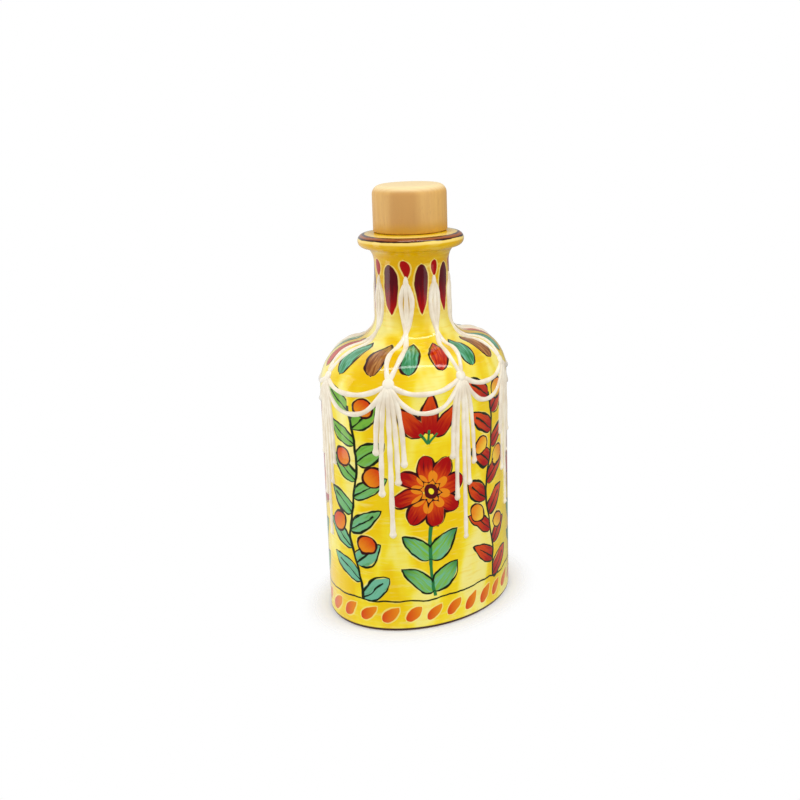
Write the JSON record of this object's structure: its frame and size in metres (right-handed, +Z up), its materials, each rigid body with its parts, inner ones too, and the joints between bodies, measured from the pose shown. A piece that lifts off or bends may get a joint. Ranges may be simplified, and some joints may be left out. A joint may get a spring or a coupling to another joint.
{
  "type": "oil and vinegar bottle",
  "caption": "Oval glazed ceramic bottle with raised slip trails, a round neck, a rolled lip and a T-shaped stopper of wood and cork, for oil or vinegar.",
  "frame": {"origin": "on the table, under the middle of the bottle's oval", "axes": "+Z up along the neck, +X along the oval's long way, +Y through the oval's broad face"},
  "size_m": [0.1036, 0.0816, 0.1978],
  "materials": {
    "glaze": "glossy yellow-ochre glaze with painted decoration and raised white slip trails",
    "beech": "satin turned wood",
    "cork": "matt cork"
  },
  "bodies": {
    "bottle": {"bottle_body": "glaze"},
    "stopper": {"stopper_head": "beech", "stopper_shank": "cork"}
  },
  "joints": [
    {"name": "stopper_lift", "type": "slide", "parent": "bottle", "child": "stopper", "axis": [0, 0, 1], "range_m": [0, 0.05]}
  ]
}
